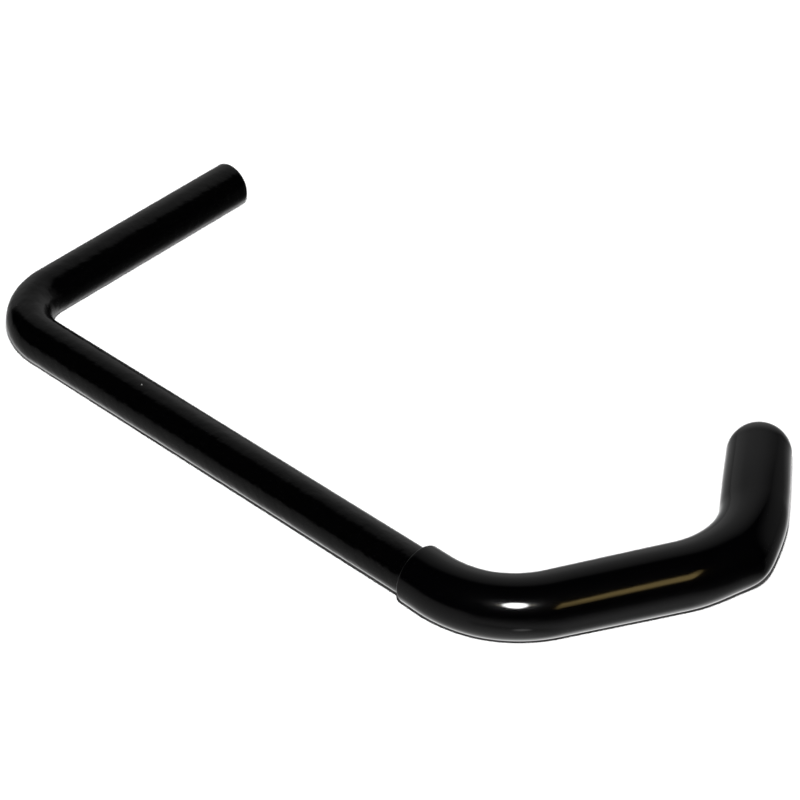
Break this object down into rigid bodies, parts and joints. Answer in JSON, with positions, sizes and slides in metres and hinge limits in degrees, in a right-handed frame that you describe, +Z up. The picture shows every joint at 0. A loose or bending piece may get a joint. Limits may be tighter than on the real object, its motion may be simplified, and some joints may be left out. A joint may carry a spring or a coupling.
{
  "type": "bicycle storage hook",
  "caption": "Round steel bar bent in one plane into a stub, a long arm and a wide hook, with a thick vinyl coat over the hook to cushion what hangs on it.",
  "frame": {"origin": "on the bar's centre line at the root of the stub, where the corner bend starts and a sleeve pushed over the stub stops", "axes": "+Y along the stub, out of its free end; +X along the arm, from the corner to the hook; +Z up, square to the plane in which the bar is bent, as it lies on a table"},
  "size_m": [0.1566, 0.0785, 0.0124],
  "materials": {
    "powder_coated_steel": "glossy black powder coat",
    "vinyl": "thick black dip coat of soft vinyl, slightly softer in gloss than the bar"
  },
  "bodies": {
    "root": {"steel_rod": "powder_coated_steel", "vinyl_coating": "vinyl"}
  },
  "joints": []
}
